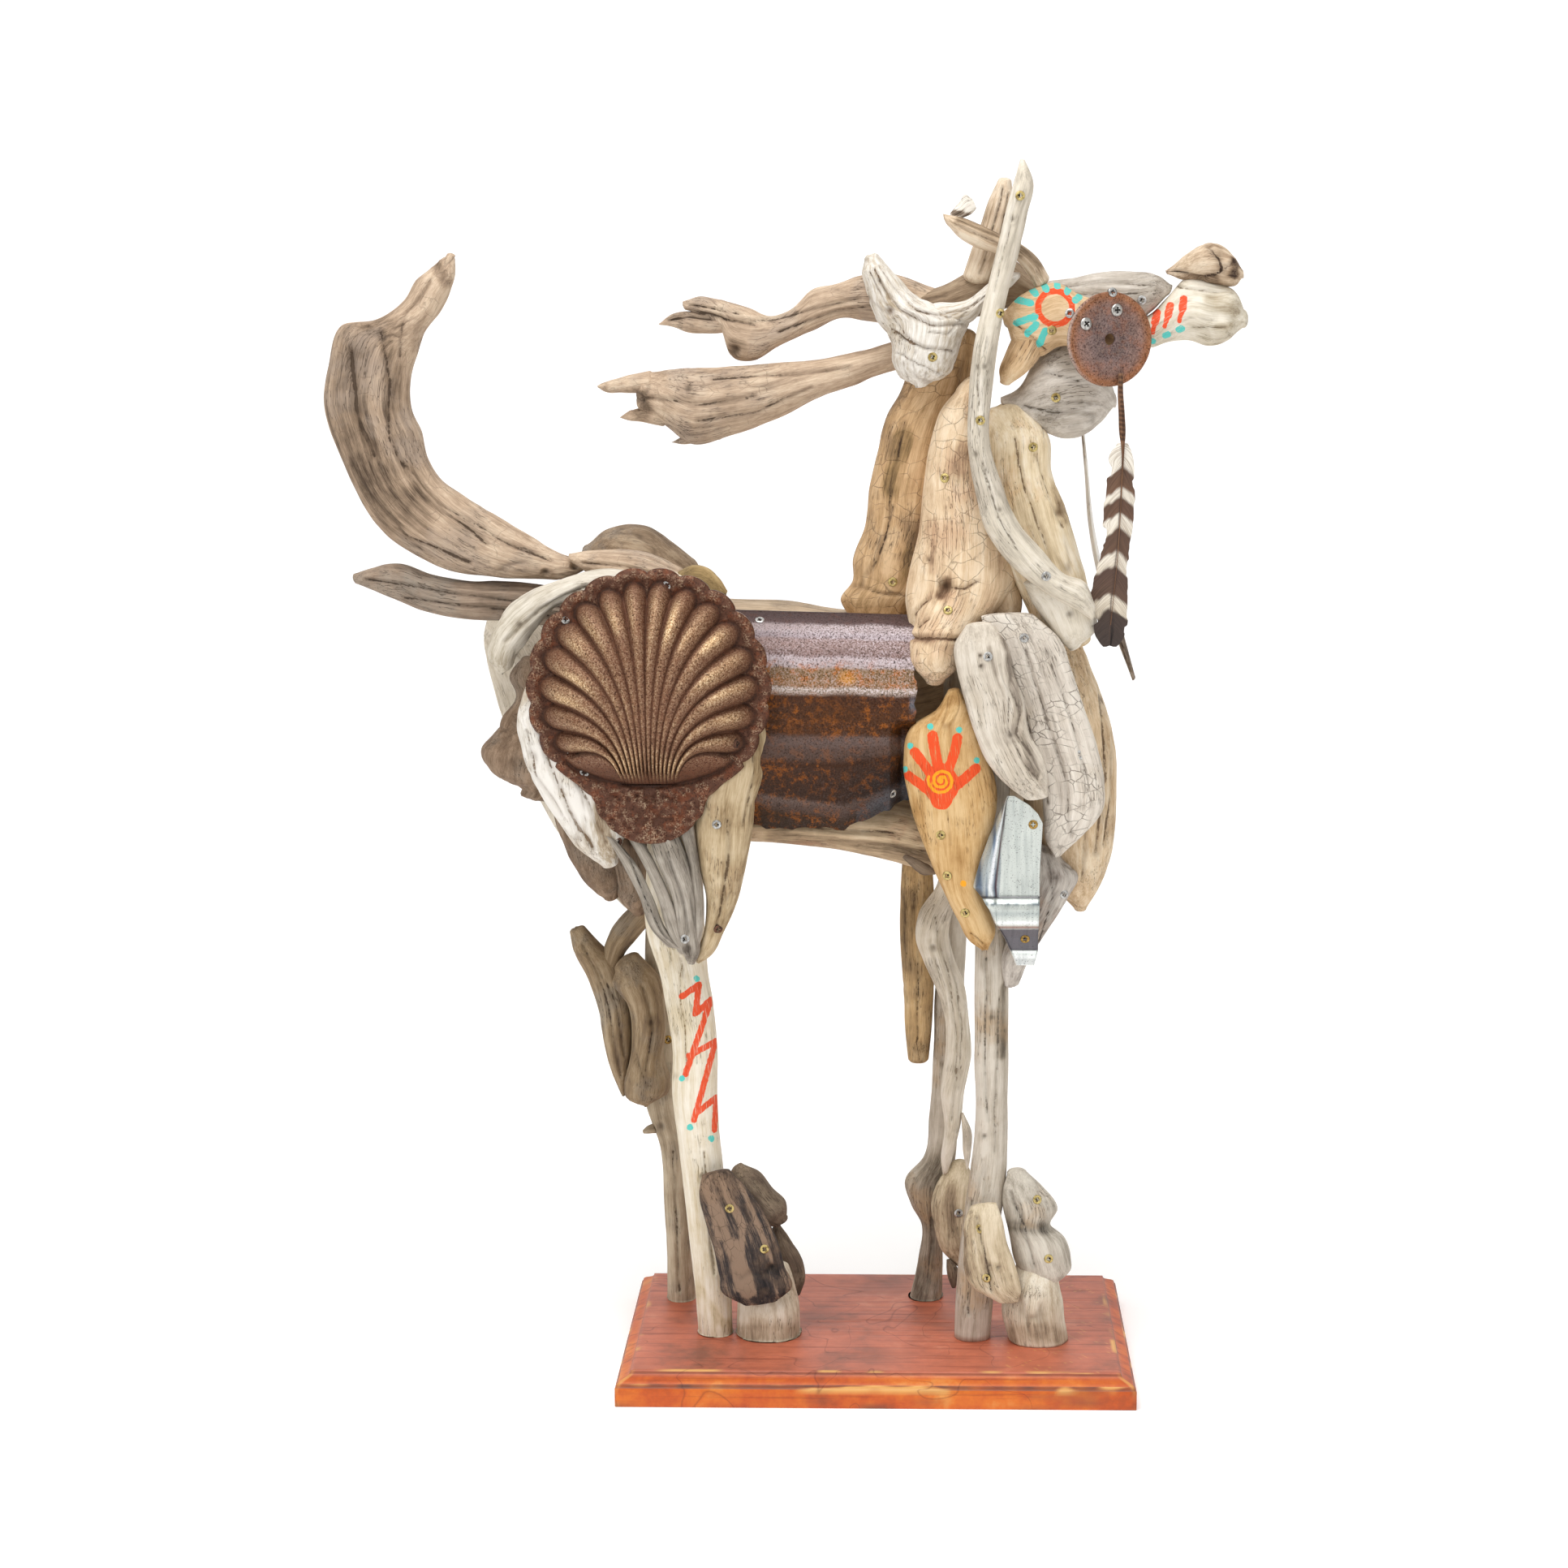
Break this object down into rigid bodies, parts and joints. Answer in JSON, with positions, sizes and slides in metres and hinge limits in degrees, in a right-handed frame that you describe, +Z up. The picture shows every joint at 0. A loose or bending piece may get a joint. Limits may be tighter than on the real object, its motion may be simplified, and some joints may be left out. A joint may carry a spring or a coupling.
{
  "type": "horse sculpture",
  "caption": "Standing horse assembled from weathered driftwood, painted boards and rusted metal scrap, screwed together on a stained board plinth with a moulded edge.",
  "frame": {"origin": "centre of the plinth's underside", "axes": "+Z up, +X towards the horse's nose, -Y towards the side that carries the shell and the hand print"},
  "size_m": [0.8629, 0.322, 1.1538],
  "materials": {
    "pale_driftwood": "weathered",
    "tan_driftwood": "weathered",
    "golden_driftwood": "weathered",
    "grey_driftwood": "weathered",
    "brown_driftwood": "weathered",
    "charred_driftwood": "charred",
    "white_driftwood": "sun-bleached",
    "stained_board": "stained and waxed",
    "rusty_iron": "rusted",
    "bent_chrome": "dull and scratched",
    "feather": "barred feather vane"
  },
  "bodies": {
    "root": {"feather_pendant": "feather", "far_feather": "feather", "shoulder_wave_board": "pale_driftwood", "neck_long_stick": "pale_driftwood", "forelock_hook": "tan_driftwood", "chest_crackled_board": "pale_driftwood", "shoulder_hand_slab": "golden_driftwood", "thigh_grey_root": "grey_driftwood", "thigh_tan_slab": "tan_driftwood", "thigh_pale_slab": "white_driftwood", "hip_branch": "white_driftwood", "cheek_slab": "golden_driftwood", "nose_tip": "pale_driftwood", "snout": "white_driftwood", "brow_slab": "grey_driftwood", "jaw": "grey_driftwood", "far_cheek_slab": "golden_driftwood", "white_gnarled_root": "white_driftwood", "ear_stump": "tan_driftwood", "poll_log": "brown_driftwood", "mane_branch": "tan_driftwood", "mane_log": "tan_driftwood", "throat_knot": "pale_driftwood", "neck_main_log": "golden_driftwood", "neck_front_slab": "tan_driftwood", "neck_rear_log": "tan_driftwood", "hind_hoof_board": "charred_driftwood", "fore_hoof_plate": "tan_driftwood", "near_hind_leg": "pale_driftwood", "near_fore_leg": "grey_driftwood", "far_hind_leg": "tan_driftwood", "far_fore_leg": "grey_driftwood", "hind_hoof_bark": "brown_driftwood", "hind_hoof_stump": "tan_driftwood", "fore_hoof_grey": "grey_driftwood", "fore_hoof_stump": "tan_driftwood", "far_twisted_root": "pale_driftwood", "far_splint_log": "tan_driftwood", "far_hoof_plate": "tan_driftwood", "far_hock_knot": "brown_driftwood", "far_hock_fork": "brown_driftwood", "buttock_knot": "brown_driftwood", "thigh_rear_splint": "brown_driftwood", "croup_branch": "tan_driftwood", "tail": "tan_driftwood", "tail_lower_branch": "grey_driftwood", "croup_knob": "grey_driftwood", "breast_grey_root": "grey_driftwood", "breast_log": "golden_driftwood", "belly_log": "tan_driftwood", "back_plank": "tan_driftwood", "far_flank_log": "tan_driftwood", "far_hip_slab": "white_driftwood", "far_shoulder_slab": "tan_driftwood", "plinth": "stained_board", "shell": "rusty_iron", "eye_disc": "rusty_iron", "far_eye_disc": "rusty_iron", "chrome_bracket": "bent_chrome", "body_sheet": "rusty_iron"}
  },
  "joints": []
}
